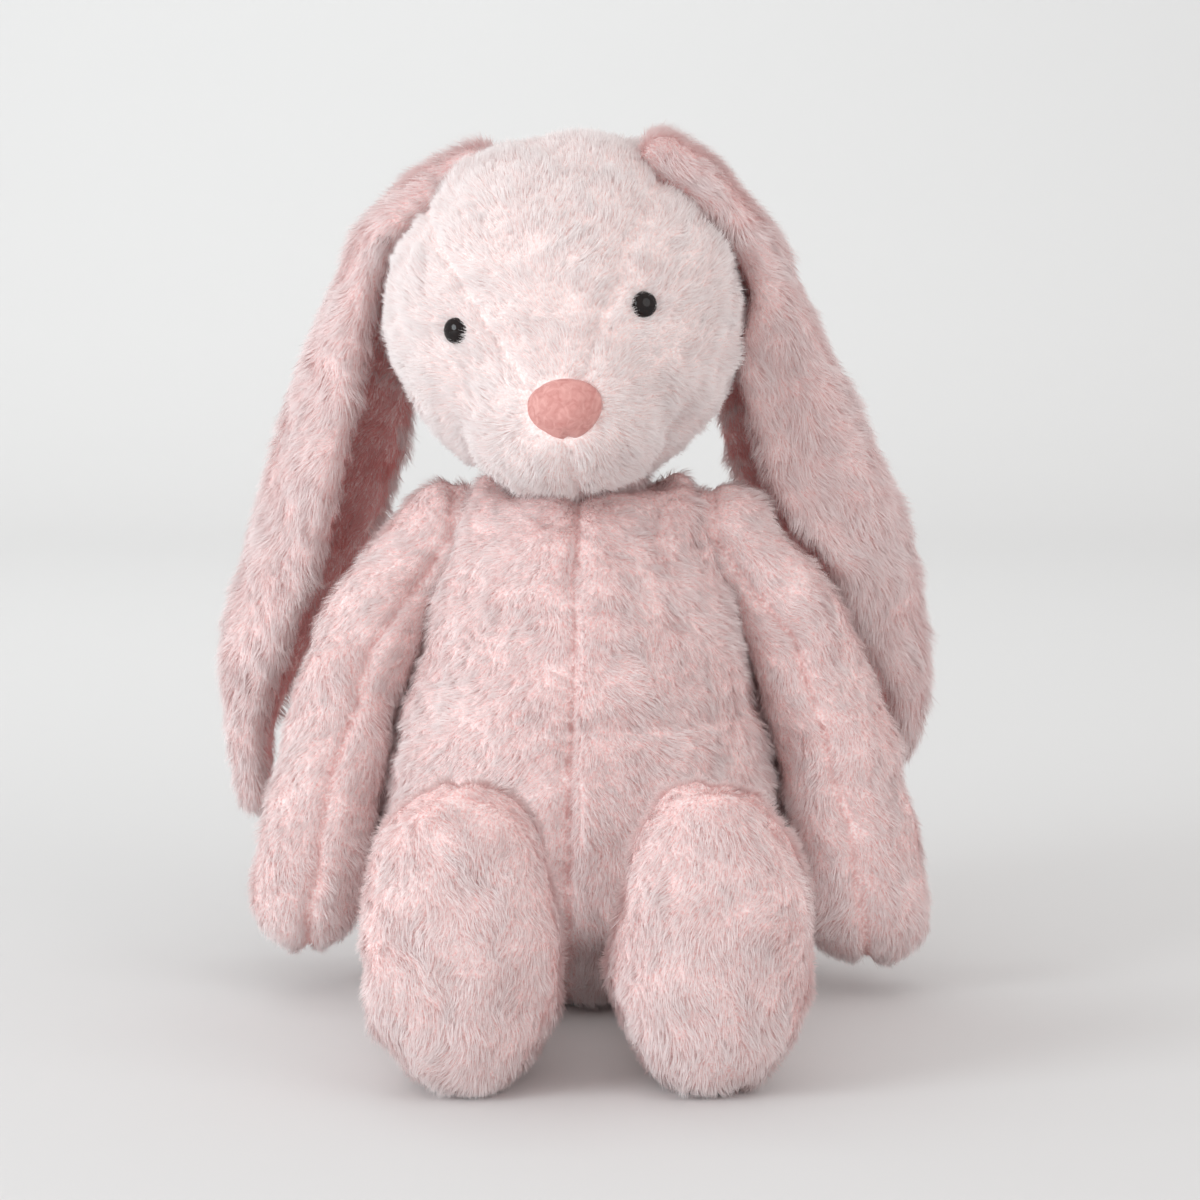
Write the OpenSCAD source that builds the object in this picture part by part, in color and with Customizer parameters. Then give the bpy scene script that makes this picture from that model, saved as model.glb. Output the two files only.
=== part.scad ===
// Plush rabbit, sitting, with long hanging ears. Sewn fur panels over fibre filling.
// Millimetres, +Z up, the face looks towards -Y, origin at the centre of the flat seat.
// Left and right are as seen from the front, so the right side is +X.

/* [Fabric] */
// Thickness of a fur panel: backing cloth and the dense part of the pile
fabric_t = 4; // [3:0.5:5]
// Gap at a seam and between a panel and the filling
seam_gap = 0.4; // [0.3:0.1:0.6]

/* [Torso] */
// Radius of the flat seat
seat_r = 62; // [56:1:64]
// Largest radius of the belly
belly_r = 92.5; // [90:0.5:94]
// Height of the belly's widest ring
belly_z = 66; // [60:1:72]
// Height of the torso's top, where the neck begins
torso_top = 228; // [226:1:228]

/* [Neck] */
// Centre of the firm ball of filling in the neck
neck_c = [-4, 0, 246];
// Radius of the neck's ball
neck_r = 27; // [25:0.5:28]

/* [Head] */
// Centre of the head
head_c = [-8, -5, 313];
// Radius of the head
head_r = 80; // [78:0.5:81]
// Sideways lean of the head, in degrees
head_lean = 8; // [0:1:10]
// Turn of the face away from straight ahead, in degrees
head_turn = -5.4; // [-6:0.2:0]
// Radius of the muzzle's swelling
muzzle_r = 45; // [42:0.5:47]
// Angle of each eye from the middle of the face
eye_angle = 32.5; // [28:0.5:36]
// Radius of an eye's dome
eye_r = 5.5; // [4.5:0.5:6.5]
// Half width, depth and height of the nose patch
nose = [16.5, 9, 13];

/* [Arms] */
// Radius of an arm's root, which turns in the shoulder
shoulder_r = 22; // [20:0.5:22]
// Height of the shoulders
shoulder_z = 212; // [210:1:213]
// Distance of each shoulder from the middle
shoulder_x = 64; // [63:0.5:66]

/* [Legs] */
// Radius of a leg's root, which turns in the hip
hip_r = 27; // [25:0.5:27]
// Position of the right hip; the left one mirrors it
hip = [50, -70, 34];
// Radius of the hollow that a hip swings in
hip_hollow_r = 36; // [34:0.5:38]
// Half width of a foot
foot_w = 38; // [34:1:39]

/* [Tail] */
// Radius of the tail
tail_r = 22; // [16:1:24]

/* [Hidden] */
$fn = 72;
fur = "#e9c3c1";
fur_pale = "#efd6d2";
fur_deep = "#d9a5a3";
fibre = "#f4f1ec";

// Outline of the torso: radius and height, from the seat to the neck
torso_outline = [[seat_r, 0], [74, 8], [82, 19], [87.5, 33], [91, 48], [belly_r, belly_z],
    [92, 84], [90, 102], [86, 122], [80.5, 141], [74.5, 160], [69, 178], [63.5, 194],
    [57, 208], [48, 218], [38, 225], [33, torso_top]];

// Middle line and radius of each arm, from the shoulder to the paw
arm_right_path = [[shoulder_x, 0, shoulder_z, shoulder_r], [103, -8, 160, 22],
    [121, -16, 104, 25], [134, -24, 41, 26.5]];
arm_left_path = [[shoulder_x, 0, shoulder_z, shoulder_r], [102, -8, 160, 21],
    [119, -16, 104, 22], [130, -24, 44, 23.5]];

// A leg beyond its round root: depth, middle height, half width and half height
leg_run = [[-89, 34, 20.5, 20.5], [-100, 34, 22, 22], [-120, 33, 26, 26],
    [-150, 32, 27.5, 28], [-175, 34, 28.5, 31.5], [-188, 44, 31, 43],
    [-200, 56.5, foot_w - 2, 56], [-212, 61.5, foot_w, 61], [-222, 61.5, foot_w - 1.5, 58.5]];
sole_run = [[-222.4, 61.5, foot_w - 1.6, 58.3], [-229, 61.5, foot_w - 6, 52],
    [-234, 61.5, foot_w - 14, 40], [-237, 61.5, 12, 23], [-238, 61.5, 4, 8]];

// Back ridge of each ear from the root to the tip: place, half width, cup depth and twist
ear_right_run = [[40, 6, 392, 26, 4, 0], [60, 7, 380, 30, 7, 0], [80, 9, 355, 33, 12, 0],
    [93, 12, 333, 34, 20, 3], [111, 19, 293, 34, 33, 8], [134, 32, 243, 33, 44, 14],
    [150, 50, 202, 31, 42, 11], [158, 58, 167, 28, 34, 9], [161, 59, 133, 22, 21, 6],
    [152, 58, 104, 9, 6, 0]];
ear_left_run = [[52.5, 33, 390, 26, 4, 0], [72.5, 34, 381, 30, 6, 0], [89.5, 34, 366, 33, 11, 3],
    [106, 36, 338, 34, 19, 8], [120, 42, 302, 34, 31, 18], [135, 52, 258, 33, 43, 24],
    [155, 62, 198, 31, 42, 18], [167, 64, 156, 28, 33, 12], [168, 63, 118, 22, 21, 6],
    [159, 62, 84, 9, 6, 0]];
ear_gap = 0.6;

// ---- helpers ----

function reversed(list) = [for (i = [len(list) - 1 : -1 : 0]) list[i]];
function unit(v) = v / norm(v);

// Point at u (0 to len - 1) on a smooth curve through the list's points
function curve(p, u) =
    let (last = len(p) - 1, i = min(floor(u), last - 1), t = u - i,
        a = p[max(i - 1, 0)], b = p[i], c = p[i + 1], d = p[min(i + 2, last)])
    0.5 * (2 * b + (c - a) * t + (2 * a - 5 * b + 4 * c - d) * t * t
        + (3 * b - a - 3 * c + d) * t * t * t);

// Closed solid through loops of one even length; a strip across the loop closes each end
module loft(loops) {
    n = len(loops[0]);
    last = (len(loops) - 1) * n;
    sides = [for (i = [0 : n : last - n], j = [0 : n - 1])
        let (a = i + j, b = i + (j + 1) % n)
        each [[a, b, b + n], [a, b + n, a + n]]];
    ends = [for (j = [0 : n / 2 - 2])
        let (k = n - 1 - j, o = last)
        each [[j, k, k - 1], [j, k - 1, j + 1],
            [o + j, o + j + 1, o + k - 1], [o + j, o + k - 1, o + k]]];
    polyhedron([for (loop = loops) each loop], concat(sides, ends), convexity = 6);
}

// ---- torso ----

function outline_normal(i) =
    let (a = torso_outline[max(i - 1, 0)], b = torso_outline[min(i + 1, len(torso_outline) - 1)])
    unit([b[1] - a[1], a[0] - b[0]]);
function torso_inset(d) =
    [for (i = [0 : len(torso_outline) - 1])
        let (p = torso_outline[i] - d * outline_normal(i)) [p[0], max(p[1], 0)]];

module torso_solid(d, low, high) {
    ring = [for (p = torso_inset(d)) [p[0], min(max(p[1], low), high)]];
    rotate_extrude() polygon(concat([[0, low]], ring, [[0, high]]));
}

// Hollows that the neck, arms and legs turn in; an arm's opens outwards as an armpit
module limb_hollows() {
    translate(neck_c) sphere(neck_r + 0.5);
    for (side = [-1, 1]) {
        translate([side * shoulder_x, 0, shoulder_z]) rotate([0, side * 90, 0]) rotate_extrude()
            polygon([[0, -23.2], [10, -21.5], [16.5, -16.3], [69, 22], [0, 22]]);
        translate([side * hip[0], hip[1], hip[2]]) sphere(hip_hollow_r);
    }
}

module torso_panel(turn) {
    difference() {
        rotate([0, 0, turn + 0.15]) rotate_extrude(angle = 89.7)
            polygon(concat(torso_outline, reversed(torso_inset(fabric_t))));
        limb_hollows();
    }
}

module torso_front_left() { color(fur) torso_panel(180); }
module torso_front_right() { color(fur) torso_panel(270); }
module torso_back_left() { color(fur) torso_panel(90); }
module torso_back_right() { color(fur) torso_panel(0); }
module base_panel() { color(fur_deep) cylinder(h = 3, r = seat_r - fabric_t - 1); }

module torso_filling() {
    color(fibre) difference() {
        torso_solid(fabric_t + seam_gap, 3 + seam_gap, torso_top);
        limb_hollows();
        pouch_shape(seam_gap);
    }
}

module pouch_shape(grow) {
    rotate_extrude() polygon([[0, 8 - grow], [36, 8 - grow], [44 + grow, 12], [46 + grow, 17],
        [44 + grow, 22], [36, 26 + grow], [0, 26 + grow]]);
}
module pellet_pouch() { color("#d8d2c8") pouch_shape(0); }

module tail() {
    color(fur_pale) difference() {
        translate([0, 101, 46]) rotate([0, 0, -90]) sphere(tail_r);
        cylinder(h = torso_top, r = belly_r + seam_gap);
    }
}

module neck_filling() { color(fibre) translate(neck_c) sphere(neck_r); }

// ---- head ----

module head_place() { translate(head_c) rotate([0, -head_lean, head_turn]) children(); }

module head_solid(d) {
    banded_ball(head_r - d);
    translate([0, -43, -35]) banded_ball(muzzle_r - d);
}

// Ball of revolution in cone bands
module banded_ball(r) {
    rotate_extrude() polygon([for (a = [-90 : 12 : 90.1]) r * [max(cos(a), 0), sin(a)]]);
}

// Flat underside of the head over the neck
module neck_cut() { translate([head_c[0], head_c[1], 190]) cylinder(h = 56, r = 46); }

// Middle strip: narrow at the nose, widest between the ears, down the back to the neck
module gusset_prism(grow) {
    linear_extrude(120, center = false) polygon([[-11 - grow, -100], [11 + grow, -100],
        [38 + grow, 5], [24 + grow, 100], [-24 - grow, 100], [-38 - grow, 5]]);
    translate([0, 0, -100]) linear_extrude(101) polygon([[-24 - grow, 100], [-34 - grow, 30],
        [34 + grow, 30], [24 + grow, 100]]);
    translate([0, 0, -40]) linear_extrude(41)
        polygon([[-11 - grow, -100], [11 + grow, -100], [16 + grow, -60], [-16 - grow, -60]]);
}

module eye_place(side) {
    rotate([0, 0, side * eye_angle]) translate([0, -head_r, 0]) rotate([90, 0, 0]) children();
}

module head_shell() {
    difference() {
        head_solid(0);
        head_solid(fabric_t);
        for (side = [-1, 1]) eye_place(side) cylinder(h = 20, r = 2.4, center = true);
    }
}

module head_gusset() {
    color(fur_pale) difference() {
        head_place() intersection() {
            head_shell();
            gusset_prism(0);
        }
        neck_cut();
    }
}

// The left side panel in the head's own frame; the right one mirrors it
module head_side() {
    difference() {
        head_shell();
        gusset_prism(seam_gap);
        translate([-seam_gap / 2, -100, -100]) cube(200);
    }
}
module head_side_left() {
    color(fur_pale) difference() {
        head_place() head_side();
        neck_cut();
    }
}
module head_side_right() {
    color(fur_pale) difference() {
        head_place() mirror([1, 0, 0]) head_side();
        neck_cut();
    }
}
module head_filling() {
    color(fibre) difference() {
        head_place() difference() {
            head_solid(fabric_t + seam_gap);
            for (side = [-1, 1]) eye_place(side) cylinder(h = 26, r = 8.4, center = true);
        }
        neck_cut();
        translate(neck_c) sphere(neck_r + 0.5);
    }
}

module nose_patch() {
    color("#dd8480") head_place() difference() {
        translate([3, -86, -40]) scale(nose) sphere(1);
        translate([0, -0.3, 0]) head_solid(0);
    }
}

// Dome on the fabric with a pin through it; the washer grips the pin inside
module eye(side) {
    color("black") head_place() eye_place(side) {
        difference() {
            translate([0, 0, -0.8]) sphere(eye_r);
            translate([0, 0, -20 + 0.3]) cube([40, 40, 40], center = true);
        }
        translate([0, 0, -11]) cylinder(h = 12, r = 2);
    }
}
module eye_left() { eye(-1); }
module eye_right() { eye(1); }

module eye_washer(side) {
    color("#e8e8e4") head_place() eye_place(side) difference() {
        translate([0, 0, -7.5]) cylinder(h = 1.6, r = 7);
        translate([0, 0, -10]) cylinder(h = 10, r = 2.05);
    }
}
module eye_washer_left() { eye_washer(-1); }
module eye_washer_right() { eye_washer(1); }

// ---- ears ----

// One cross-section of an ear between two depths below its outer face
function ear_loop(run, u, top, bottom) =
    let (q = curve(run, u), e = 0.05, last = len(run) - 1,
        q0 = curve(run, max(u - e, 0)), q1 = curve(run, min(u + e, last)),
        t = unit([q1[0] - q0[0], q1[1] - q0[1], q1[2] - q0[2]]),
        across = unit([0, 1, 0] - t[1] * t), out = cross(t, across),
        n = out * cos(q[5]) + across * sin(q[5]), w = across * cos(q[5]) - out * sin(q[5]),
        p = [q[0], q[1], q[2]], b = q[3], a = q[4], span = 60 + 25 * min(1, a / 30))
    let (edge = function (d) [for (f = [-1 : 0.2 : 1.001])
        let (g = f * span, m = unit([b * cos(g), a * sin(g)]))
        p + n * (a * (cos(g) - 1) - d * m[0]) + w * (b * sin(g) - d * m[1])])
    concat(edge(top), reversed(edge(bottom)));

module ear_panel(run, top, bottom) {
    last = len(run) - 1;
    loft([for (i = [0 : 20]) ear_loop(run, last * i / 20, top, bottom)]);
}

module ear_left_outer() { color(fur) mirror([1, 0, 0]) ear_panel(ear_left_run, 0, fabric_t); }
module ear_left_lining() {
    color(fur_deep) mirror([1, 0, 0])
        ear_panel(ear_left_run, fabric_t + ear_gap, 2 * fabric_t + ear_gap);
}
module ear_right_outer() { color(fur) ear_panel(ear_right_run, 0, fabric_t); }
module ear_right_lining() {
    color(fur_deep) ear_panel(ear_right_run, fabric_t + ear_gap, 2 * fabric_t + ear_gap);
}

// ---- arms ----

// Rings of an arm: place on the path, push along the arm and width, both in radii
arm_rings = concat([for (f = [12 : 19.5 : 70.5]) [0, -cos(f), sin(f)]],
    [for (u = [0 : 0.375 : 3.001]) [u, 0, 1]],
    [for (f = [70.5 : -19.5 : 12]) [3, cos(f), sin(f)]]);

function arm_point(path, ring, inset, angle) =
    let (q = curve(path, ring[0]), e = 0.05,
        q0 = curve(path, max(ring[0] - e, 0)), q1 = curve(path, min(ring[0] + e, 3)),
        t = unit([q1[0] - q0[0], q1[1] - q0[1], q1[2] - q0[2]]),
        v = unit([0, 1, 0] - t[1] * t), u = cross(t, v), r = q[3] - inset)
    [q[0], q[1], q[2]] + r * (t * ring[1] + ring[2] * (u * cos(angle) + v * sin(angle)));

// Half of an arm's fur, from one seam angle to the other
module arm_panel(path, middle) {
    sweep = 90 - 1.2;
    loft([for (ring = arm_rings) concat(
        [for (f = [-1 : 0.25 : 1]) arm_point(path, ring, 0, middle + f * sweep)],
        [for (f = [1 : -0.25 : -1]) arm_point(path, ring, fabric_t, middle + f * sweep)])]);
}
module arm_core(path) {
    loft([for (ring = arm_rings)
        [for (f = [0 : 20 : 340]) arm_point(path, ring, fabric_t + seam_gap, f)]]);
}

module arm_left_outer() { color(fur) mirror([1, 0, 0]) arm_panel(arm_left_path, 0); }
module arm_left_inner() { color(fur) mirror([1, 0, 0]) arm_panel(arm_left_path, 180); }
module arm_left_filling() { color(fibre) mirror([1, 0, 0]) arm_core(arm_left_path); }
module arm_right_outer() { color(fur) arm_panel(arm_right_path, 0); }
module arm_right_inner() { color(fur) arm_panel(arm_right_path, 180); }
module arm_right_filling() { color(fibre) arm_core(arm_right_path); }

// ---- legs ----

// Sideways place of a leg's middle line at depth y; the foot leans out by lean
function leg_x(y, lean) = hip[0] + lean * min(max((hip[1] - y) / 140, 0), 1);

function ball_point(f, inset, angle, lean) =
    let (r = hip_r - inset, y = hip[1] + r * cos(f))
    [leg_x(y, lean) + r * sin(f) * cos(angle), y, hip[2] + r * sin(f) * sin(angle)];
function run_point(s, inset, angle, lean) =
    [leg_x(s[0], lean) + (s[2] - inset) * cos(angle), s[0], s[1] + (s[3] - inset) * sin(angle)];

module leg_loft(lean, run, angles_out, angles_in, inset_out, inset_in) {
    loft(concat(
        [for (f = [12 : 20 : 132]) concat(
            [for (g = angles_out) ball_point(f, inset_out, g, lean)],
            [for (g = angles_in) ball_point(f, inset_in, g, lean)])],
        [for (s = run) concat(
            [for (g = angles_out) run_point(s, inset_out, g, lean)],
            [for (g = angles_in) run_point(s, inset_in, g, lean)])]));
}

// Half of a leg's fur spans this angle each way from its middle
panel_sweep = 89;
module leg_panel(lean, middle) {
    leg_loft(lean, leg_run, [for (f = [1 : -0.25 : -1]) middle + f * panel_sweep],
        [for (f = [-1 : 0.25 : 1]) middle + f * panel_sweep], 0, fabric_t);
}

// The filling stops clear of the sole's rounded inner face
module leg_core(lean) {
    inset = fabric_t + 2 * seam_gap;
    behind_sole = [for (i = [0 : len(leg_run) - 2]) leg_run[i]];
    in_sole = [[-218, 61.5, foot_w - 1.4, 59], [-222, 61.5, foot_w - 4, 54.6],
        [-224.6, 61.5, foot_w - 6.4, 51.6], [-229.4, 61.5, 23.4, 39.4], [-232, 61.5, 11.6, 22.4]];
    leg_loft(lean, concat(behind_sole, in_sole), [for (f = [1 : -0.25 : -1]) f * panel_sweep],
        [for (f = [1 : -0.25 : -1]) f * panel_sweep - 180], inset, inset);
}

// Rounded front of a foot, moved back and drawn in by depth
module sole_dome(lean, run, depth) {
    loft([for (s = run)
        [for (g = [180 : -15 : -165]) run_point(s + [depth, 0, 0, 0], depth * 0.8, g, lean)]]);
}
module leg_sole(lean) {
    difference() {
        sole_dome(lean, sole_run, 0);
        sole_dome(lean, concat([sole_run[0] + [6, 0, 0, 0]], sole_run), fabric_t);
    }
}

left_lean = -1;
right_lean = 4;
module leg_left_outer() { color(fur) mirror([1, 0, 0]) leg_panel(left_lean, 0); }
module leg_left_inner() { color(fur) mirror([1, 0, 0]) leg_panel(left_lean, 180); }
module leg_left_sole() { color(fur_pale) mirror([1, 0, 0]) leg_sole(left_lean); }
module leg_left_filling() { color(fibre) mirror([1, 0, 0]) leg_core(left_lean); }
module leg_right_outer() { color(fur) leg_panel(right_lean, 0); }
module leg_right_inner() { color(fur) leg_panel(right_lean, 180); }
module leg_right_sole() { color(fur_pale) leg_sole(right_lean); }
module leg_right_filling() { color(fibre) leg_core(right_lean); }

torso_front_left();
torso_front_right();
torso_back_left();
torso_back_right();
base_panel();
torso_filling();
pellet_pouch();
tail();
neck_filling();
head_gusset();
head_side_left();
head_side_right();
head_filling();
nose_patch();
eye_left();
eye_right();
eye_washer_left();
eye_washer_right();
ear_left_outer();
ear_left_lining();
ear_right_outer();
ear_right_lining();
arm_left_outer();
arm_left_inner();
arm_left_filling();
arm_right_outer();
arm_right_inner();
arm_right_filling();
leg_left_outer();
leg_left_inner();
leg_left_sole();
leg_left_filling();
leg_right_outer();
leg_right_inner();
leg_right_sole();
leg_right_filling();
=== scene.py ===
"""Looks of a sitting plush rabbit: skins with sewn grooves, and pile grown on them as mesh strands.

Metres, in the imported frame: +Z up, the face towards -Y, the right side is +X.
"""

import bpy
import math
import numpy as np
from mathutils import Matrix, Vector, kdtree


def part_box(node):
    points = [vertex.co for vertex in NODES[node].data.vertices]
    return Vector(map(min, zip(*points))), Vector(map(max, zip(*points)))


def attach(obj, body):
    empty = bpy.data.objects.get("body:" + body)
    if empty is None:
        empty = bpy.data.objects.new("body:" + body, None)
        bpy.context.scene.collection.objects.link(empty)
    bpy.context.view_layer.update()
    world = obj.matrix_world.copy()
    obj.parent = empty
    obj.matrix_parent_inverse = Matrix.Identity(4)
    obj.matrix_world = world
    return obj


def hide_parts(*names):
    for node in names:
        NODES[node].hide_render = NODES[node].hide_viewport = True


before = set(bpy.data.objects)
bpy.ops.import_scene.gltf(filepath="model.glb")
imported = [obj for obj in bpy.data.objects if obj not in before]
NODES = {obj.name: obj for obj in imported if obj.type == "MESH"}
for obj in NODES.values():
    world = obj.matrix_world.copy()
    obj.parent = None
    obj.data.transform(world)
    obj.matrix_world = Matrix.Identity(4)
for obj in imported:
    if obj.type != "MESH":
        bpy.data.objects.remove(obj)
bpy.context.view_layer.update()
MM = 0.001

# Colours, linear RGB: root, middle and tip of the pile, the light that comes through it, and its cloth. The
# deeper pink of the root and the cloth is partly the plush's own colour and partly painted shade down in
# the pile.
FACE = dict(root=(0.87, 0.68, 0.66), middle=(0.925, 0.885, 0.88), tip=(0.94, 0.94, 0.94),
            through=(0.93, 0.81, 0.80), cloth=(0.85, 0.60, 0.57))
BODY = dict(root=(0.85, 0.56, 0.54), middle=(0.90, 0.835, 0.83), tip=(0.92, 0.912, 0.91),
            through=(0.91, 0.71, 0.70), cloth=(0.82, 0.48, 0.46))
EAR = dict(root=(0.84, 0.56, 0.54), middle=(0.895, 0.82, 0.815), tip=(0.915, 0.90, 0.898),
           through=(0.91, 0.70, 0.69), cloth=(0.81, 0.48, 0.46))
# The lining's deep pink is partly its own colour and partly painted shade of the ear's hollow.
LINING = dict(root=(0.80, 0.38, 0.37), middle=(0.90, 0.55, 0.54), tip=(0.94, 0.71, 0.70),
              through=(0.88, 0.47, 0.46), cloth=(0.76, 0.38, 0.37))

# The head's own frame, as in the CAD
HEAD_C = np.array([-8.0, -5.0, 313.0]) * MM
HEAD_LEAN = math.radians(8)
HEAD_TURN = math.radians(-5.4)
HEAD_R = 80 * MM
EYE_ANGLE = math.radians(32.5)
NECK_C = np.array([-4.0, 0.0, 246.0]) * MM
NOSE_C = np.array([3.0, -88.0, -40.0]) * MM

# Pile
DENSITY = 1.7e6  # strands to a square metre
STOPS = (0.0, 0.45, 1.0)                  # where a strand's three points lie along it
ROOT_DEPTH = 1.0 * MM                     # a strand starts this far under the skin
FLOOR_GAP = 0.4 * MM                      # the lowest a strand reaches
STRAND_WIDTH = 0.29 * MM                  # at the root
LOCK_SIZE = 26                            # strands that lean together in one lock
LOCK_PULL = 0.27                          # how far they lean towards its middle
SEAM_REACH = 2.4 * MM                     # how far from a seam the pile is trapped
SEAM_SHORTER = 0.50                       # the share of its length that it loses there
SEAM_SHADE = 0.8                         # painted shade: the share of its tip colour that it loses there, leaving its deeper root colour
RIPPLE = 1.6 * MM                         # the pile's scalloped rows, 2 pi of this apart

# Where each skin is pressed in along its seams: half width of the groove
GROOVE = 3.5 * MM

# Lines down the middle of the limbs and ears, in millimetres
ARM_PATH = {"left": [(-64, 0, 212), (-102, -8, 160), (-119, -16, 104), (-130, -24, 44), (-132, -26, 10)],
            "right": [(64, 0, 212), (103, -8, 160), (121, -16, 104), (134, -24, 41), (136, -26, 10)]}
EAR_PATH = {"left": [(-51, 56, 390), (-88, 34, 363), (-120, 42, 302), (-155, 62, 198), (-168, 63, 118),
                     (-159, 62, 80)],
            "right": [(40, 34, 396), (80, 9, 355), (111, 19, 293), (150, 50, 202), (161, 59, 133),
                      (152, 58, 100)]}
TAIL_C = np.array([0, 95, 46]) * MM


# ---- arrays and meshes ----

def unit(v):
    return v / np.maximum(np.linalg.norm(v, axis=-1, keepdims=True), 1e-12)


def waves(p, size, seed, layers=12):
    """Smooth noise about 0, spread 1, with features about `size` metres wide."""
    rng = np.random.default_rng(seed)
    out = np.zeros(len(p))
    for _ in range(layers):
        k = unit(rng.normal(size=3)) * (2 * math.pi / size) * rng.uniform(0.6, 1.6)
        out += np.sin(p @ k + rng.uniform(0, 2 * math.pi))
    return out * math.sqrt(2 / layers)


def bump(d, width):
    """1 at d = 0, falling away over about `width`."""
    return np.exp(-(d / width) ** 2)


def ramp(x, low, high):
    """0 below low, 1 above high, smooth between."""
    t = np.clip((x - low) / (high - low), 0, 1)
    return t * t * (3 - 2 * t)


def points_of(obj):
    co = np.empty(len(obj.data.vertices) * 3)
    obj.data.vertices.foreach_get("co", co)
    return co.reshape(-1, 3)


def move_points(obj, co):
    obj.data.vertices.foreach_set("co", co.astype(np.float32).ravel())
    obj.data.update()


def triangles_of(obj):
    obj.data.calc_loop_triangles()
    tri = np.empty(len(obj.data.loop_triangles) * 3, dtype=np.int32)
    obj.data.loop_triangles.foreach_get("vertices", tri)
    return tri.reshape(-1, 3)


def vertex_normals(co, tri):
    """Unit normals at the vertices, weighted by the triangles' areas."""
    a, b, c = (co[tri[:, k]] for k in range(3))
    face = np.cross(b - a, c - a)
    out = np.zeros_like(co)
    for k in range(3):
        np.add.at(out, tri[:, k], face)
    return unit(out)


def tree_of(points):
    """Search tree for the nearest of the points."""
    tree = kdtree.KDTree(len(points))
    for i, p in enumerate(points):
        tree.insert(p, i)
    tree.balance()
    return tree


def link(name, mesh):
    obj = bpy.data.objects.new(name, mesh)
    bpy.context.scene.collection.objects.link(obj)
    return obj


def mesh_from(name, verts, faces):
    mesh = bpy.data.meshes.new(name)
    mesh.from_pydata([tuple(v) for v in verts], [], [tuple(f) for f in faces])
    mesh.update()
    mesh.polygons.foreach_set("use_smooth", [True] * len(mesh.polygons))
    return link(name, mesh)


def apply_modifier(obj, kind, **settings):
    mod = obj.modifiers.new(kind.lower(), kind)
    for key, value in settings.items():
        setattr(mod, key, value)
    bpy.ops.object.select_all(action="DESELECT")
    bpy.context.view_layer.objects.active = obj
    obj.select_set(True)
    bpy.ops.object.modifier_apply(modifier=mod.name)


def form_from_nodes(name, node_names, voxel, rounds):
    """One closed, rounded form over the CAD solids of the named nodes."""
    verts, faces, start = [], [], 0
    for n in node_names:
        co, tri = points_of(NODES[n]), triangles_of(NODES[n])
        verts.append(co)
        faces.append(tri + start)
        start += len(co)
    obj = mesh_from(name, np.concatenate(verts), np.concatenate(faces).tolist())
    apply_modifier(obj, "REMESH", mode="VOXEL", voxel_size=voxel, use_smooth_shade=True)
    apply_modifier(obj, "CORRECTIVE_SMOOTH", iterations=rounds, smooth_type="SIMPLE",
                   use_only_smooth=True)
    return obj


def lathe(name, profile, turns, centre=(0, 0, 0)):
    """Closed form of revolution about +Z through the profile's (radius, height) points."""
    rings = []
    for r, z in profile:
        a = np.arange(turns) * 2 * math.pi / turns
        rings.append(np.stack([r * np.cos(a), r * np.sin(a), np.full(turns, z)], 1))
    verts = np.concatenate(rings) + np.array(centre)
    faces = [[i * turns + j, i * turns + (j + 1) % turns, (i + 1) * turns + (j + 1) % turns,
              (i + 1) * turns + j] for i in range(len(profile) - 1) for j in range(turns)]
    faces.append(list(range(turns))[::-1])
    faces.append([(len(profile) - 1) * turns + j for j in range(turns)])
    return mesh_from(name, verts, faces)


def smooth_profile(points, steps):
    """Catmull-Rom curve through the points, `steps` to a span."""
    p = np.array(points, dtype=float)
    out = []
    for i in range(len(p) - 1):
        a, b, c, d = p[max(i - 1, 0)], p[i], p[i + 1], p[min(i + 2, len(p) - 1)]
        for s in range(steps):
            t = s / steps
            out.append(0.5 * (2 * b + (c - a) * t + (2 * a - 5 * b + 4 * c - d) * t * t
                              + (3 * b - a - 3 * c + d) * t ** 3))
    out.append(p[-1])
    return np.array(out)


# ---- materials ----

def new_material(name, colour, roughness):
    mat = bpy.data.materials.new(name)
    mat.use_nodes = True
    shader = mat.node_tree.nodes["Principled BSDF"]
    shader.inputs["Base Color"].default_value = (*colour, 1)
    shader.inputs["Roughness"].default_value = roughness
    return mat, mat.node_tree.nodes, mat.node_tree.links, shader


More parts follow.
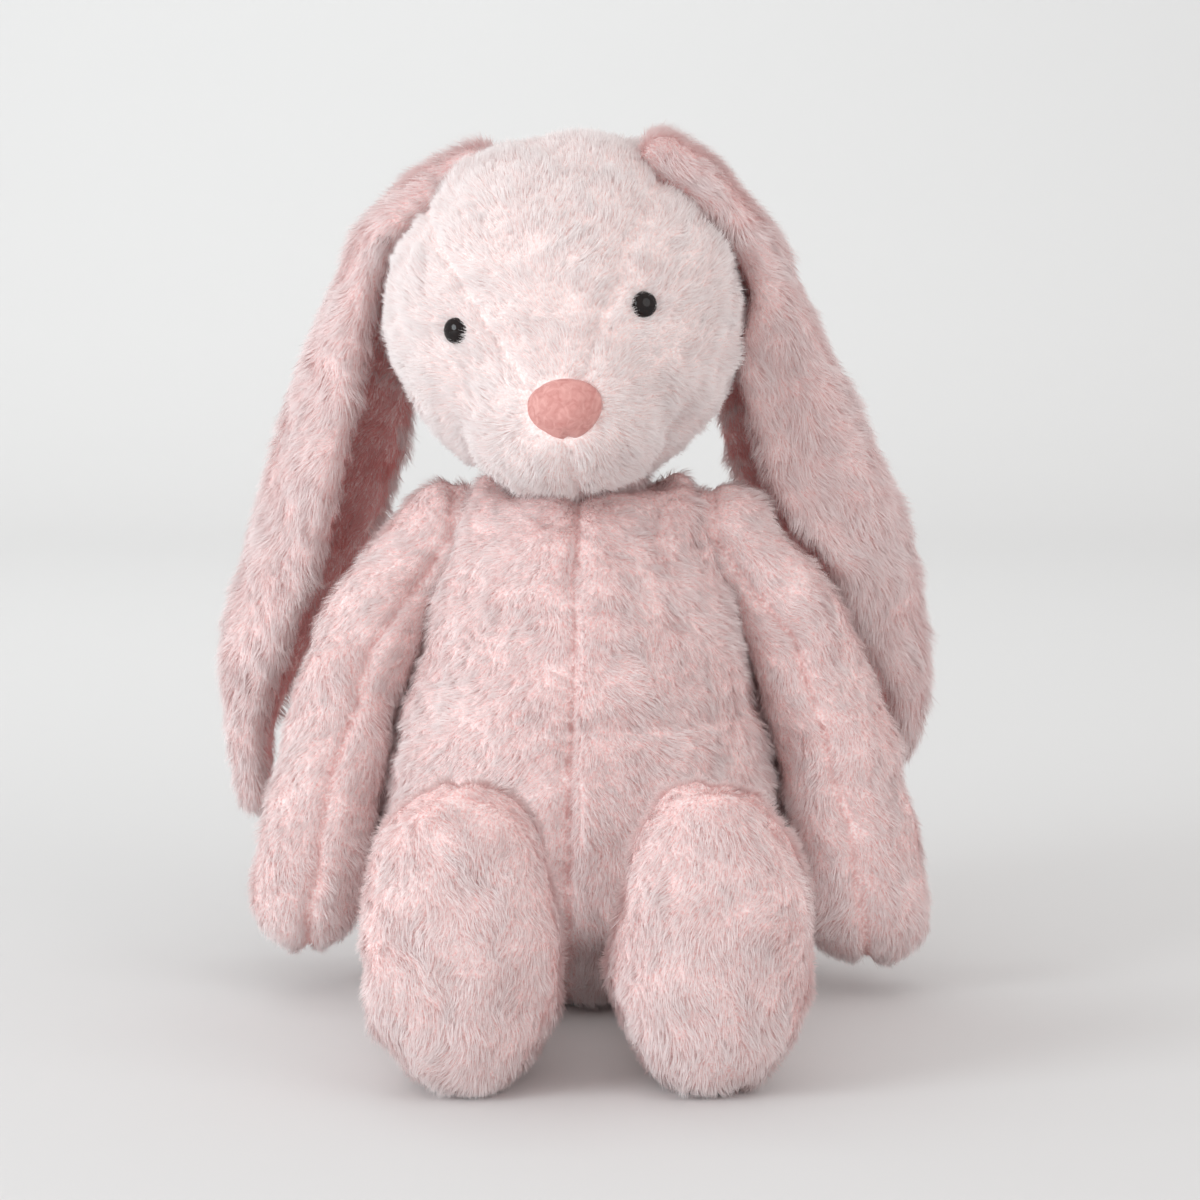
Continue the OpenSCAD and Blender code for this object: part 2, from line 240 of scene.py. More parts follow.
def pile_material(name, tone):
    """Colour runs root to tip along V, deeper at the root partly as painted shade within the pile; U picks
    how light the lock is.
    """
    mat, nodes, links, shader = new_material(name, tone["middle"], 0.8)
    shader.inputs["Specular IOR Level"].default_value = 0.05
    uv = nodes.new("ShaderNodeUVMap")
    uv.uv_map = "OFBake"
    split = nodes.new("ShaderNodeSeparateXYZ")
    colours = nodes.new("ShaderNodeValToRGB")
    stops = colours.color_ramp.elements
    # root stop: the pile's own pink, deepened as painted shade down in the pile
    stops[0].position, stops[0].color = 0.0, (*tone["root"], 1)
    stops[1].position, stops[1].color = 1.0, (*tone["tip"], 1)
    stops.new(0.45).color = (*tone["middle"], 1)
    light = nodes.new("ShaderNodeMapRange")
    light.inputs["To Min"].default_value = 0.90
    light.inputs["To Max"].default_value = 1.06
    tint = nodes.new("ShaderNodeHueSaturation")
    links.new(uv.outputs["UV"], split.inputs[0])
    links.new(split.outputs["Y"], colours.inputs["Fac"])
    links.new(split.outputs["X"], light.inputs["Value"])
    links.new(light.outputs["Result"], tint.inputs["Value"])
    depth = nodes.new("ShaderNodeMapRange")
    depth.inputs["To Min"].default_value = 1.5
    depth.inputs["To Max"].default_value = 0.8
    links.new(split.outputs["X"], depth.inputs["Value"])
    links.new(depth.outputs["Result"], tint.inputs["Saturation"])
    links.new(colours.outputs["Color"], tint.inputs["Color"])
    links.new(tint.outputs["Color"], shader.inputs["Base Color"])
    through = nodes.new("ShaderNodeBsdfTranslucent")
    through.inputs["Color"].default_value = (*tone["through"], 1)
    both = nodes.new("ShaderNodeMixShader")
    both.inputs["Fac"].default_value = 0.34
    links.new(shader.outputs["BSDF"], both.inputs[1])
    links.new(through.outputs["BSDF"], both.inputs[2])
    links.new(both.outputs[0], nodes["Material Output"].inputs["Surface"])
    return mat


def cloth_material(name, tone):
    """Knitted backing under the pile, mottled with the pile's own colours; its deep pink is partly painted
    shade under the pile.
    """
    mat, nodes, links, shader = new_material(name, tone["cloth"], 0.95)
    coords = nodes.new("ShaderNodeTexCoord")
    fibres = nodes.new("ShaderNodeTexNoise")
    fibres.inputs["Scale"].default_value = 900
    fibres.inputs["Detail"].default_value = 3
    colours = nodes.new("ShaderNodeValToRGB")
    stops = colours.color_ramp.elements
    stops[0].position, stops[0].color = 0.3, (*tone["cloth"], 1)
    stops[1].position, stops[1].color = 0.75, (*tone["middle"], 1)
    links.new(coords.outputs["Object"], fibres.inputs["Vector"])
    links.new(fibres.outputs["Fac"], colours.inputs["Fac"])
    links.new(colours.outputs["Color"], shader.inputs["Base Color"])
    return mat


TONES = {"face": FACE, "body": BODY, "ear": EAR, "lining": LINING}
PILE = {key: pile_material("pile_" + key, tone) for key, tone in TONES.items()}
CLOTH = {key: cloth_material("cloth_" + key, tone) for key, tone in TONES.items()}


# ---- pile ----

def grow(name, skin, body, tone, flow, seed, length=6.8 * MM, lean=1.1,
         where=None, seam=None, density=1.0, ripple=0.0, seam_shade=1.0):
    """Pile on a skin as one mesh of tapered strands.

    flow(points) gives the nap's direction, where(points, normals) is true where pile grows,
    and seam(points) is the distance to the nearest seam, where the pile is trapped and short.
    The last argument is how far the strands by a seam are darkened towards the root colour: painted shade
    in the seam's groove.
    """
    rng = np.random.default_rng(seed)
    co, tri = points_of(skin), triangles_of(skin)
    normals = vertex_normals(co, tri)
    a, b, c = (co[tri[:, k]] for k in range(3))
    area = np.linalg.norm(np.cross(b - a, c - a), axis=1) / 2
    count = int(area.sum() * DENSITY * density)
    pick = rng.choice(len(tri), count, p=area / area.sum())
    u, v = rng.random(count), rng.random(count)
    over = u + v > 1
    u[over], v[over] = 1 - u[over], 1 - v[over]
    w = (1 - u - v)[:, None]
    u, v = u[:, None], v[:, None]
    corner = tri[pick]
    root = w * a[pick] + u * b[pick] + v * c[pick]
    up = unit(w * normals[corner[:, 0]] + u * normals[corner[:, 1]] + v * normals[corner[:, 2]])
    if where is not None:
        keep = where(root, up)
        root, up = root[keep], up[keep]
    count = len(root)

    # the nap: its direction, wandering slowly, with fine disorder
    nap = flow(root)
    nap = unit(nap - up * (nap * up).sum(1, keepdims=True))
    side = np.cross(up, nap)
    turn = 0.28 * waves(root, 0.050, seed + 1) + 0.20 * waves(root, 0.014, seed + 2)
    turn = (turn + rng.normal(0, 0.15, count))[:, None]
    nap = nap * np.cos(turn) + side * np.sin(turn)
    size = length * np.clip(1 + 0.13 * waves(root, 0.022, seed + 3) + rng.normal(0, 0.13, count), 0.4, 1.5)
    tilt = lean * (1 + 0.14 * waves(root, 0.018, seed + 4) + rng.normal(0, 0.10, count))
    near_seam = np.zeros(count) if seam is None else bump(seam(root), SEAM_REACH)
    size = size * (1 - SEAM_SHORTER * near_seam)
    rows = np.sin(root[:, 2] / RIPPLE + 2.5 * waves(root, 0.03, seed + 6))
    tilt = tilt + 0.15 * near_seam + ripple * rows

    # locks: strands lean together towards a shared middle
    locks = max(8, count // LOCK_SIZE)
    middle = rng.choice(count, locks, replace=False)
    tree = tree_of(root[middle])
    mine = np.fromiter((tree.find(p)[1] for p in root), dtype=np.int64, count=count)
    nap = unit(nap * (1 - 0.6 * LOCK_PULL) + nap[middle][mine] * 0.6 * LOCK_PULL)
    gather = root[middle][mine] - root

    # three points along each strand, which bends over more towards its tip
    line = [root - up * ROOT_DEPTH]
    for s0, s1 in zip(STOPS[:-1], STOPS[1:]):
        bend = (tilt * (0.55 + 0.65 * (s0 + s1) / 2))[:, None]
        step = up * np.cos(bend) + nap * np.sin(bend)
        line.append(line[-1] + step * (size * (s1 - s0))[:, None]
                    + gather * LOCK_PULL * (s1 ** 1.5 - s0 ** 1.5))
    for p in line:
        p[:, 2] = np.maximum(p[:, 2], FLOOR_GAP)
    half = (STRAND_WIDTH / 2 * np.clip(rng.normal(1, 0.2, count), 0.5, 1.6))[:, None]
    across = unit(np.cross(nap, up + rng.normal(size=(count, 3)) * 0.3)) * half
    # the ribbon's front faces away from the skin
    facing = (np.cross(across, line[2] - line[0]) * up).sum(1, keepdims=True)
    across = across * np.where(facing < 0, -1.0, 1.0)
    verts = np.stack([line[0] - across, line[0] + across, line[1] - across * 0.8, line[1] + across * 0.8,
                      line[2]], axis=1)

    # across the texture how light the lock is, up it the way from root to tip; by a seam both are cut back
    # towards the deep root colour as painted shade
    tint = np.clip(0.5 + 0.08 * waves(root, 0.024, seed + 5) + rng.normal(0, 0.12, count)
                   + rng.normal(0, 0.09, locks)[mine] - 0.3 * seam_shade * near_seam, 0.03, 0.97)
    uv = np.zeros((count, 5, 2))
    uv[:, :, 0] = tint[:, None] + np.array([-1, 1, -1, 1, 0]) * 0.006
    uv[:, :, 1] = np.array([0.02, 0.02, 0.45, 0.45, 0.98]) * (1 - SEAM_SHADE * seam_shade * near_seam)[:, None]
    # shaded mostly by the skin's own normal, so that the pile reads as one surface
    lean_of = unit(line[2] - line[0])
    shade = unit(up * 1.2 - lean_of * (up * lean_of).sum(1, keepdims=True) * 0.6
                 + rng.normal(0, 0.10, (count, 3)))
    obj = strands_mesh(name, verts, uv, shade)
    obj.data.materials.append(PILE[tone])
    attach(obj, body)
    return obj


def strands_mesh(name, verts, uv, shade):
    """A mesh of five-point strands: a quad from the root to the middle, and a triangle to the tip."""
    count = len(verts)
    base = np.arange(count)[:, None] * 5
    corners = np.concatenate([base + np.array([0, 1, 3, 2]), base + np.array([2, 3, 4])], axis=1).ravel()
    starts = (np.arange(count)[:, None] * 7 + np.array([0, 4])).ravel()
    mesh = bpy.data.meshes.new(name)
    mesh.vertices.add(count * 5)
    mesh.vertices.foreach_set("co", verts.astype(np.float32).ravel())
    mesh.loops.add(len(corners))
    mesh.loops.foreach_set("vertex_index", corners.astype(np.int32))
    mesh.polygons.add(len(starts))
    mesh.polygons.foreach_set("loop_start", starts.astype(np.int32))
    mesh.update(calc_edges=True)
    layer = mesh.uv_layers.new(name="OFBake")
    layer.data.foreach_set("uv", uv.reshape(-1, 2)[corners].astype(np.float32).ravel())
    mesh.polygons.foreach_set("use_smooth", np.ones(len(starts), dtype=bool))
    mesh.normals_split_custom_set_from_vertices(np.repeat(shade, 5, axis=0).astype(np.float32))
    return link(name, mesh)


def finish_skin(skin, body, tone, fill, *nodes):
    """Dresses a skin in its backing cloth and stands it for the CAD nodes."""
    skin.data.materials.clear()
    skin.data.materials.append(CLOTH[tone])
    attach(skin, body)
    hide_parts(*nodes)


def swell(skin, amount):
    """Moves the skin outwards along its normals by amount(points, normals) in metres."""
    co, tri = points_of(skin), triangles_of(skin)
    normals = vertex_normals(co, tri)
    co = co + normals * amount(co, normals)[:, None]
    co[:, 2] = np.maximum(co[:, 2], 0.8 * MM)
    move_points(skin, co)


def press_seam(skin, seam, depth, width):
    """Pulls the skin in along its seams."""
    swell(skin, lambda p, n: -depth * bump(seam(p), width))


# ---- torso ----

# Radius and height of the torso's rings, in millimetres
TORSO_OUTLINE = [(60, 0.6), (73, 7), (82, 19), (88.5, 33), (92, 48), (93.5, 66), (93, 84), (91, 102),
                 (87, 122), (81.5, 141), (75.5, 160), (70.5, 178), (65, 193), (58, 206), (49, 217),
                 (40, 225), (29, 231), (10, 234)]


def torso_seam(p):
    """Distance to the seams: middle of the front and back, and the sides."""
    front = np.abs(p[:, 0] + (2 + 6 * (1 - p[:, 2] / 0.228)) * MM) + np.where(p[:, 1] < 0, 0, 1)
    back = np.abs(p[:, 0]) + np.where(p[:, 1] > 0, 0, 1)
    sides = np.abs(p[:, 1] - 6 * MM)
    base = np.hypot(np.hypot(p[:, 0], p[:, 1]) - 64 * MM, p[:, 2] - 2 * MM)
    return np.minimum(np.minimum(front, back), np.minimum(sides, base))


def torso_crease(p):
    """The fold across the belly, where the sitting torso bends."""
    along = ramp(p[:, 0], -0.030, 0.0) * (1 - ramp(p[:, 0], 0.065, 0.085))
    return bump(p[:, 2] - 0.131 - 0.04 * p[:, 0], 5 * MM) * along * (p[:, 1] < 0)


def down_flow(p):
    """Nap that runs straight down."""
    return np.tile([0.0, 0.0, -1.0], (len(p), 1))


def torso_flow(p):
    """Down, and away from the centre seam."""
    out = down_flow(p)
    out[:, 0] = 0.7 * np.sign(p[:, 0]) * ramp(np.abs(p[:, 0]), 0.0, 0.03)
    return out


def build_torso():
    skin = lathe("torso_skin", smooth_profile(TORSO_OUTLINE, 4) * MM, 120)
    co = points_of(skin)
    shoulder = bump(np.abs(co[:, 0]) - 50 * MM, 14 * MM) * bump(co[:, 1] + 2 * MM, 26 * MM)
    co[:, 2] += 20 * MM * shoulder * ramp(co[:, 2], 0.185, 0.215)
    move_points(skin, co)
    swell(skin, lambda p, n: (1.3 * waves(p, 0.07, 5) + 0.6 * waves(p, 0.03, 6) - 3.5 * torso_crease(p))
          * MM * ramp(p[:, 2], 0.004, 0.03))
    press_seam(skin, torso_seam, 3.2 * MM, 3.6 * MM)
    quarters = {"front_left": (-1, -1), "front_right": (1, -1), "back_left": (-1, 1), "back_right": (1, 1)}
    finish_skin(skin, "torso", "body", 0.8, "base_panel", "torso_filling", "pellet_pouch",
                *("torso_" + q for q in quarters))
    for i, (q, (sx, sy)) in enumerate(quarters.items()):
        grow("pile_torso_" + q, skin, "torso", "body", torso_flow, 100 + 10 * i, seam=torso_seam,
             ripple=0.24,
             where=lambda p, n, sx=sx, sy=sy: (p[:, 0] * sx > 0) & (p[:, 1] * sy > 0) & (n[:, 2] > -0.93))


# ---- head ----

def head_matrix():
    return (Matrix.Translation(Vector(HEAD_C)) @ Matrix.Rotation(HEAD_TURN, 4, "Z")
            @ Matrix.Rotation(-HEAD_LEAN, 4, "Y"))


HEAD_M = np.array(head_matrix())


def to_head(p):
    """Points in the head's own frame."""
    return (p - HEAD_C) @ HEAD_M[:3, :3]


def from_head(p):
    """Points back in the rabbit's frame."""
    return p @ HEAD_M[:3, :3].T + HEAD_C


def head_seam(p):
    """Distance to the two seams of the middle strip and the seam under the nose."""
    q = to_head(p)
    strip = np.abs(np.abs(q[:, 0]) - (26 * MM + 0.5 * q[:, 2])) * 0.9
    strip = strip + np.where((q[:, 2] > -36 * MM) | (q[:, 1] > 0), 0, 1)
    chin = np.abs(q[:, 0] - 2 * MM) + np.where((q[:, 2] < -50 * MM) & (q[:, 1] < -20 * MM), 0, 1)
    return np.minimum(strip, chin)


def head_flow(p):
    """Away from the nose, over the face and down the back of the head."""
    q = to_head(p)
    out = unit(q - NOSE_C)
    out[:, 2] += np.where(q[:, 1] < 0, 0.1, -0.6)
    out[:, 1] += 0.35
    return out @ HEAD_M[:3, :3].T


def around_eyes(p):
    """Distance to the nearer eye."""
    q = to_head(p)
    d = np.full(len(p), 1.0)
    for side in (-1, 1):
        eye = np.array([side * math.sin(EYE_ANGLE), -math.cos(EYE_ANGLE), 0]) * HEAD_R
        d = np.minimum(d, np.linalg.norm(q - eye, axis=1))
    return d


def around_nose(p):
    """1 on an oval round the nose patch, less inside it."""
    q = (to_head(p) - NOSE_C) / (np.array([16.5, 12, 13]) * MM)
    return np.linalg.norm(q, axis=1)


def chin_fullness(p):
    """1 over the chin."""
    q = to_head(p)
    return ramp(-q[:, 2], 0.040, 0.070) * ramp(-q[:, 1], 0.0, 0.03)


def ear_root(p):
    """1 where an ear is sewn on."""
    right = np.linalg.norm(p - np.array([32, 4, 384]) * MM, axis=1)
    left = np.linalg.norm(p - np.array([-46, 26, 384]) * MM, axis=1)
    return np.maximum(bump(right, 17 * MM), 0.5 * bump(left, 15 * MM))


def build_head():
    skin = form_from_nodes("head_skin", ["head_gusset", "head_side_left", "head_side_right",
                                         "head_filling"], 3 * MM, 14)
    swell(skin, lambda p, n: (1.0 + 1.0 * waves(p, 0.06, 8) + 0.5 * waves(p, 0.028, 9)
                              - 3.0 * bump(around_eyes(p), 9 * MM) + 2.2 * chin_fullness(p)
                              + 6.0 * ear_root(p)) * MM)
    press_seam(skin, head_seam, 1.7 * MM, GROOVE)
    finish_skin(skin, "head", "face", 0.9, "head_gusset", "head_side_left", "head_side_right",
                "head_filling", "eye_washer_left", "eye_washer_right")
    clear = lambda p: (around_eyes(p) > 2.7 * MM) & (around_nose(p) > 1.0)
    strip = lambda q: np.maximum(26 * MM + 0.5 * q[:, 2], 0)
    parts = {"left": lambda q: q[:, 0] < -strip(q),
             "right": lambda q: q[:, 0] > strip(q),
             "middle": lambda q: np.abs(q[:, 0]) <= strip(q)}
    for i, (part, choose) in enumerate(parts.items()):
        # the head's seams carry a lighter share of the painted seam shade
        grow("pile_head_" + part, skin, "head", "face", head_flow, 200 + 10 * i, seam=head_seam,
             length=6.6 * MM, lean=1.06, seam_shade=0.35,
             where=lambda p, n, choose=choose: choose(to_head(p)) & clear(p) & (n[:, 2] > -0.97))


# ---- limbs, ears, tail and neck ----

def along(points_list):
    """Nap that runs along the line through the points."""
    line = np.array(points_list) * MM

    def flow(p):
        best, out = np.full(len(p), np.inf), np.zeros_like(p)
        for a, b in zip(line[:-1], line[1:]):
            t = np.clip(((p - a) @ (b - a)) / ((b - a) @ (b - a)), 0, 1)[:, None]
            d = np.linalg.norm(p - a - t * (b - a), axis=1)
            closer = d < best
            best[closer] = d[closer]
            out[closer] = unit(b - a)
        return out
    return flow


def build_arm(side, sign):
    path = ARM_PATH[side]
    body = "arm_" + side
    nodes = [f"{body}_{k}" for k in ("outer", "inner", "filling")]
    skin = form_from_nodes(f"arm_{side}_skin", nodes, 3 * MM, 8)
    line = np.array(path) * MM

    def seam(p):
        """Front and back seams, which follow the arm's middle line."""
        middle = np.interp(-p[:, 2], -line[:, 2], line[:, 0])
        return np.abs(p[:, 0] - middle + sign * 5 * MM)

    def fullness(p, n):
        """Fuller against the torso below the shoulder, and leaner behind."""
        return (1.2 + 0.9 * waves(p, 0.05, 11 + sign) + 0.5 * waves(p, 0.025, 14 + sign)
                + 5 * np.maximum(-sign * n[:, 0], 0) * ramp(-p[:, 2], -0.19, -0.15)
                - 2 * np.maximum(n[:, 1], 0)) * MM

    swell(skin, fullness)
    press_seam(skin, seam, 2.6 * MM, GROOVE)
    finish_skin(skin, body, "body", 0.8, *nodes)
    grow(f"pile_arm_{side}", skin, body, "body", along(path), 300 + 50 * sign, seam=seam, ripple=0.12)


def build_leg(side, sign):
    body = "leg_" + side
    sole_y = -221 * MM
    nodes = [f"leg_{side}_{k}" for k in ("outer", "inner", "sole", "filling")]
    skin = form_from_nodes(f"leg_{side}_skin", nodes, 3 * MM, 8)
    foot_x = 0.5 * (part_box(nodes[2])[0][0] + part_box(nodes[2])[1][0])

    def seam(p):
        """Round the sole, and along the top and bottom of the leg."""
        sole = np.abs(p[:, 1] - sole_y)
        top = np.abs(p[:, 0] - foot_x) + np.where(p[:, 1] > -215 * MM, 0, 1)
        return np.minimum(sole, top)

    def flow(p):
        """Along the leg to the foot, up over the foot's top, and down the sole."""
        front = ramp(-p[:, 1], 0.195, 0.225)[:, None]
        rise = ramp(-p[:, 1], 0.16, 0.19)[:, None] * (p[:, 2:3] > 0.05)
        return ((1 - front) * np.array([0, -1.0, 0]) + front * np.array([0, 0, -1.0])
                + rise * (1 - front) * np.array([0, 0, 0.6]))

    swell(skin, lambda p, n: (0.5 + 3.0 * ramp(-p[:, 1], 0.17, 0.20) + 0.9 * waves(p, 0.05, 21 + sign)
                              + 0.5 * waves(p, 0.025, 24 + sign)) * MM)
    swell(skin, lambda p, n: 5 * MM * ramp(p[:, 2], 0.08, 0.12) * ramp(-p[:, 1], 0.17, 0.20)
          * np.maximum(n[:, 2], 0))
    press_seam(skin, seam, 2.4 * MM, GROOVE)
    finish_skin(skin, body, "body", 0.8, *nodes)
    grow(f"pile_leg_{side}", skin, body, "body", flow, 500 + 50 * sign, seam=seam,
         where=lambda p, n: p[:, 1] > sole_y)
    grow(f"pile_sole_{side}", skin, body, "body", flow, 520 + 50 * sign, seam=seam,
         where=lambda p, n: p[:, 1] <= sole_y)


def open_inwards(co):
    """Brings the right ear's inner edge in behind the head, where its lining shows."""
    line = np.array(EAR_PATH["right"]) * MM
    middle = np.interp(-co[:, 2], -line[:, 2], line[:, 0])
    inner = ramp(middle - co[:, 0], 0.002, 0.018)
    reach = ramp(co[:, 2], 0.190, 0.235) * (1 - ramp(co[:, 2], 0.285, 0.325))
    return (inner * reach)[:, None] * np.array([-14, 8, 0]) * MM


def shape_ear(skin, side, sign):
    """Full at the root, hanging a little lower and further out at the end."""
    swell(skin, lambda p, n: (2.6 + 0.4 * waves(p, 0.06, 31 + sign)
                              + 4.5 * ramp(p[:, 2], 0.325, 0.365)) * MM)
    co = points_of(skin)
    lower = {"left": 6, "right": 3}[side]
    co += ramp(co[:, 2:], 0.340, 0.375) * np.array([-sign * 5, -5, -lower]) * MM
    drop = ramp(-co[:, 2:], -0.14, -0.09) * np.array([0, 0, {"left": -12, "right": -6}[side]])
    co += (np.array([3 * sign, 0, 0]) + drop) * MM * ramp(np.abs(co[:, :1]), 0.10, 0.15)
    if side == "right":
        co += open_inwards(co)
    move_points(skin, co)


def build_ear(side, sign):
    body = "ear_" + side
    nodes = [f"ear_{side}_outer", f"ear_{side}_lining"]
    skin = form_from_nodes(f"ear_{side}_skin", nodes, 2.2 * MM, 6)
    outer, lining = (tree_of(points_of(NODES[n])) for n in nodes)
    is_outer = np.array([lining.find(p)[2] - outer.find(p)[2] > -0.5 * MM for p in points_of(skin)])
    shape_ear(skin, side, sign)
    here = tree_of(points_of(skin))

    def on_outer(p):
        return is_outer[[here.find(q)[1] for q in p]]

    flow = along(EAR_PATH[side])
    finish_skin(skin, body, "ear", None, *nodes)
    grow(f"pile_ear_{side}", skin, body, "ear", flow, 700 + 50 * sign, length=8.6 * MM, density=0.9,
         where=lambda p, n: on_outer(p))
    grow(f"pile_ear_{side}_lining", skin, body, "lining", flow, 720 + 50 * sign, length=6 * MM, lean=1.15,
         where=lambda p, n: ~on_outer(p))
    return skin


def build_tail():
    skin = form_from_nodes("tail_skin", ["tail"], 2.5 * MM, 6)
    finish_skin(skin, "torso", "face", 0.9, "tail")
    grow("pile_tail", skin, "torso", "face", lambda p: unit(p - TAIL_C) + [0, 0.2, -0.5], 90,
         length=12 * MM, lean=0.7)


def build_neck():
    """Ball that turns under the head and keeps the neck closed in every pose."""
    radius = 33
    profile = [(radius * math.cos(a), radius * math.sin(a)) for a in np.linspace(-1.5, 1.5, 17)]
    skin = lathe("neck_skin", np.array(profile) * MM, 48, NECK_C - np.array([0, 0, 4 * MM]))
    finish_skin(skin, "neck", "body", 0.8, "neck_filling")
    grow("pile_neck", skin, "neck", "body", down_flow, 80, length=8 * MM, lean=0.7)


# ---- nose and eyes ----

def nose_material():
    mat, nodes, links, shader = new_material("nose_suede", (0.60, 0.29, 0.26), 0.9)
    shader.inputs["Sheen Weight"].default_value = 0.4
    shader.inputs["Sheen Roughness"].default_value = 0.4
    coords = nodes.new("ShaderNodeTexCoord")
    nap = nodes.new("ShaderNodeTexNoise")
    nap.inputs["Scale"].default_value = 260
    nap.inputs["Detail"].default_value = 6
    nap.inputs["Distortion"].default_value = 1.2
    colours = nodes.new("ShaderNodeValToRGB")
    stops = colours.color_ramp.elements
    stops[0].position, stops[0].color = 0.3, (0.53, 0.22, 0.20, 1)
    stops[1].position, stops[1].color = 0.7, (0.70, 0.36, 0.33, 1)
    wrinkle = nodes.new("ShaderNodeBump")
    wrinkle.inputs["Strength"].default_value = 0.8
    wrinkle.inputs["Distance"].default_value = 0.0006
    links.new(coords.outputs["Object"], nap.inputs["Vector"])
    links.new(nap.outputs["Fac"], colours.inputs["Fac"])
    links.new(colours.outputs["Color"], shader.inputs["Base Color"])
    links.new(nap.outputs["Fac"], wrinkle.inputs["Height"])
    links.new(wrinkle.outputs["Normal"], shader.inputs["Normal"])
    return mat


def build_nose():
    """Padded patch: rounded triangle, broad at the top, with a small notch below."""
    rings, turns = 14, 72
    half_width, upper, lower, crown_height = 16.8, 13.2, 13.8, 6.0
    verts = []
    for i in range(rings + 1):
        r = i / rings
        for j in range(turns):
            a = 2 * math.pi * j / turns
            x, z = math.cos(a), math.sin(a)
            wide = half_width * (1 + 0.10 * z - 0.05 * z * z)
            tall = upper if z > 0 else lower
            notch = 1.6 * math.exp(-((a - 1.5 * math.pi) / 0.16) ** 2)
            rim = 1 - notch / 13 * r
            crown = crown_height * (1 - r ** 2.6) + 0.2
            curve = -0.010 * (x * wide * r) ** 2 - 0.006 * (z * tall * r) ** 2
            verts.append((x * wide * r * rim, -(crown + curve), z * tall * r * rim))
    verts = np.array(verts)
    verts[:, 1] -= 0.12 * waves(verts, 6.0, 3)
    top = verts.copy()
    back = verts * np.array([0.96, 0, 0.96]) + np.array([0, 3.5, 0])
    n = len(top)
    faces = []
    for i in range(rings):
        for j in range(turns):
            k = (j + 1) % turns
            quad = [i * turns + j, i * turns + k, (i + 1) * turns + k, (i + 1) * turns + j]
            faces.append(quad)
            faces.append([n + q for q in reversed(quad)])
    for j in range(turns):
        k = (j + 1) % turns
        faces.append([rings * turns + j, rings * turns + k, n + rings * turns + k, n + rings * turns + j])
    both = np.concatenate([top, back]) + np.array([0, 1.0, 0])
    nose = mesh_from("nose", from_head(both * MM + NOSE_C), faces)
    nose.data.materials.append(nose_material())
    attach(nose, "head")
    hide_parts("nose_patch")


def eye_material():
    mat, nodes, links, shader = new_material("eye_plastic", (0.006, 0.006, 0.008), 0.08)
    shader.inputs["Specular IOR Level"].default_value = 0.22
    coords = nodes.new("ShaderNodeTexCoord")
    mottle = nodes.new("ShaderNodeTexNoise")
    mottle.inputs["Scale"].default_value = 500
    colours = nodes.new("ShaderNodeValToRGB")
    stops = colours.color_ramp.elements
    stops[0].color = (0.004, 0.004, 0.006, 1)
    stops[1].color = (0.020, 0.012, 0.010, 1)
    links.new(coords.outputs["Object"], mottle.inputs["Vector"])
    links.new(mottle.outputs["Fac"], colours.inputs["Fac"])
    links.new(colours.outputs["Color"], shader.inputs["Base Color"])
    return mat


def build_eye(side, sign, mat):
    """Domed safety eye with a thin rim, on its pin."""
    dome = [(5.6 * math.cos(a), 3.0 + 2.8 * math.sin(a)) for a in np.linspace(0, 1.45, 12)]
    profile = [(1.9, -10), (2.0, 0.2), (5.0, 0.4), (5.9, 1.0), (6.0, 1.8), (5.75, 2.6)] + dome
    eye = lathe(f"eye_{side}_dome", np.array(profile) * MM, 48)
    co = points_of(eye)
    out = co[:, 2] + HEAD_R - 3.2 * MM
    a = sign * EYE_ANGLE
    flat = np.stack([co[:, 0], -out, co[:, 1]], 1)
    turned = np.stack([flat[:, 0] * math.cos(a) - flat[:, 1] * math.sin(a),
                       flat[:, 0] * math.sin(a) + flat[:, 1] * math.cos(a), flat[:, 2]], 1)
    move_points(eye, from_head(turned))
    eye.data.materials.append(mat)
    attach(eye, "head")
    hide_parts(f"eye_{side}")


# ---- the whole rabbit ----

build_torso()
build_head()
for side, sign in (("left", -1), ("right", 1)):
    build_arm(side, sign)
    build_leg(side, sign)
    build_ear(side, sign)
build_tail()
build_neck()
build_nose()
black = eye_material()
for side, sign in (("left", -1), ("right", 1)):
    build_eye(side, sign, black)


# ---- floor, light and camera ----

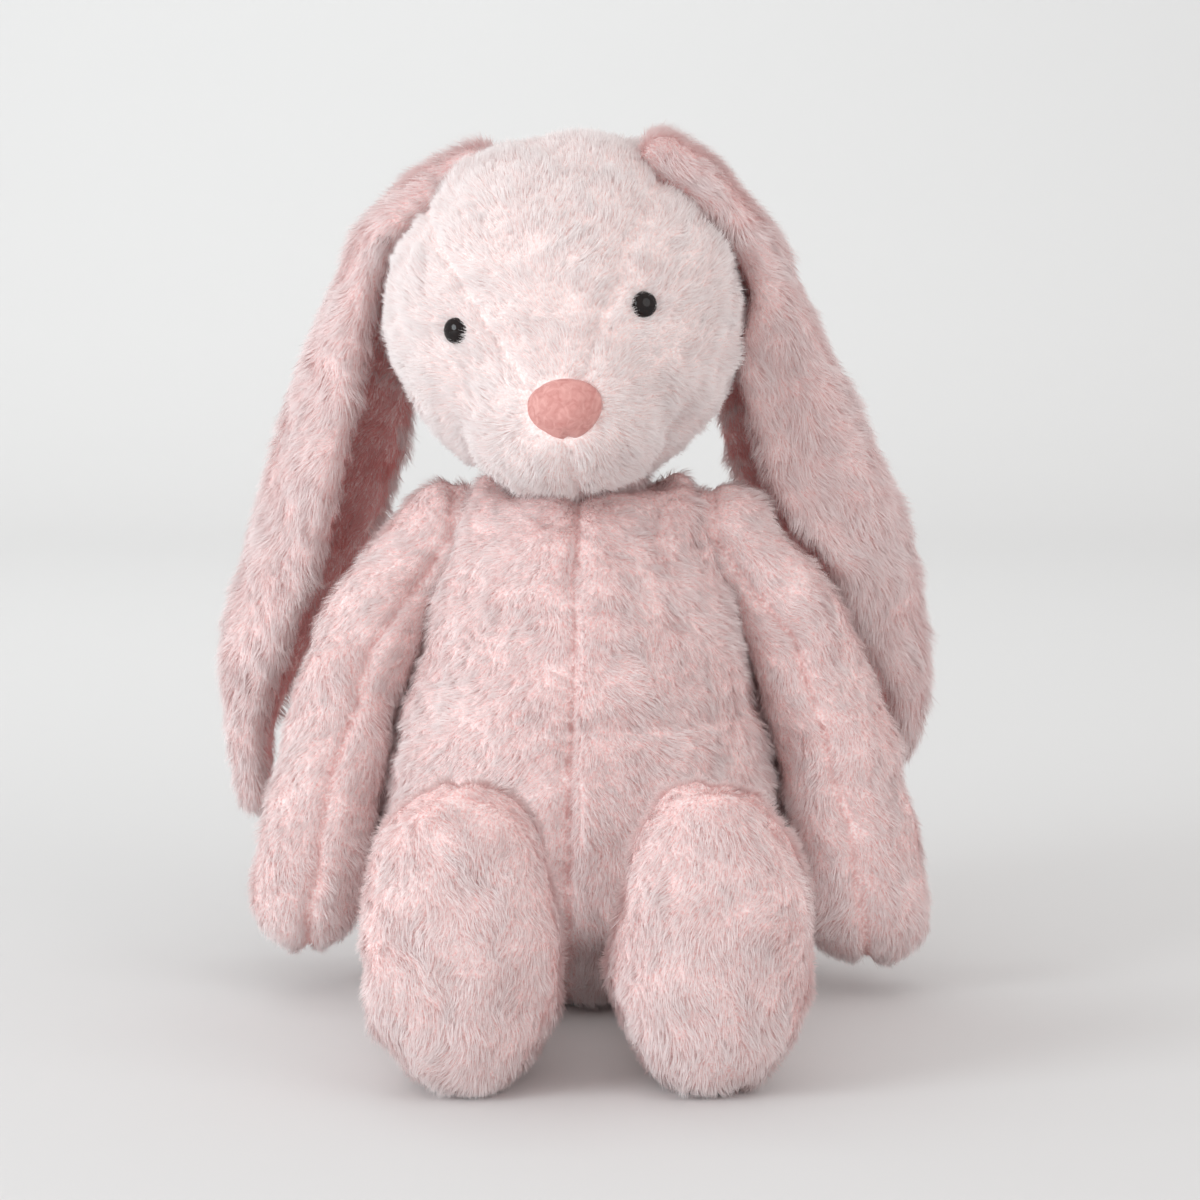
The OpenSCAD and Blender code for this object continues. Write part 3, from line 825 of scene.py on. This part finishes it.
def build_stage():
    """Paper sweep: flat under the rabbit, curving up far behind it."""
    bpy.ops.mesh.primitive_grid_add(x_subdivisions=40, y_subdivisions=40, size=1)
    floor = bpy.context.object
    floor.name = "floor"
    co = points_of(floor)
    co[:, 0] *= 8
    y = co[:, 1] * 6 + 1.2
    bend = np.clip(y - 2.2, 0, None)
    co[:, 1] = np.minimum(y, 2.2 + 0.9 * np.tanh(bend / 0.9))
    co[:, 2] = bend ** 2 * 0.6
    move_points(floor, co)
    floor.data.polygons.foreach_set("use_smooth", [True] * len(floor.data.polygons))
    mat, *_ = new_material("paper", (0.70, 0.70, 0.70), 0.8)
    floor.data.materials.append(mat)


def area_light(name, place, target, size, power, colour=(1, 1, 1)):
    light = bpy.data.lights.new(name, "AREA")
    light.shape = "DISK"
    light.size = size
    light.energy = power
    light.color = colour
    obj = bpy.data.objects.new(name, light)
    bpy.context.scene.collection.objects.link(obj)
    obj.location = place
    obj.rotation_euler = (Vector(target) - Vector(place)).to_track_quat("-Z", "Y").to_euler()


def build_light():
    world = bpy.data.worlds.new("studio")
    world.use_nodes = True
    sky = world.node_tree.nodes["Background"]
    sky.inputs["Color"].default_value = (1.0, 0.975, 0.965, 1)
    sky.inputs["Strength"].default_value = 0.82
    bpy.context.scene.world = world
    area_light("key", (-1.9, -1.4, 0.75), (0, 0, 0.2), 1.2, 33, (0.90, 0.975, 1))
    area_light("fill", (1.6, -1.6, 0.9), (0, 0, 0.2), 1.6, 11)
    area_light("backdrop", (-0.6, 1.0, 2.2), (-0.4, 3.2, 0.6), 1.6, 19, (0.95, 1, 1))


def build_camera():
    lens_in_widths = 3450 / 1200
    camera = bpy.data.cameras.new("camera")
    camera.sensor_width = 36
    camera.lens = camera.sensor_width * lens_in_widths
    obj = bpy.data.objects.new("camera", camera)
    bpy.context.scene.collection.objects.link(obj)
    obj.location = (0.008, -1.6, 0.36)
    obj.rotation_euler = (math.radians(90 - 6.44), 0, 0)
    bpy.context.scene.camera = obj


build_stage()
build_light()
build_camera()
bpy.context.scene.view_settings.view_transform = "Standard"
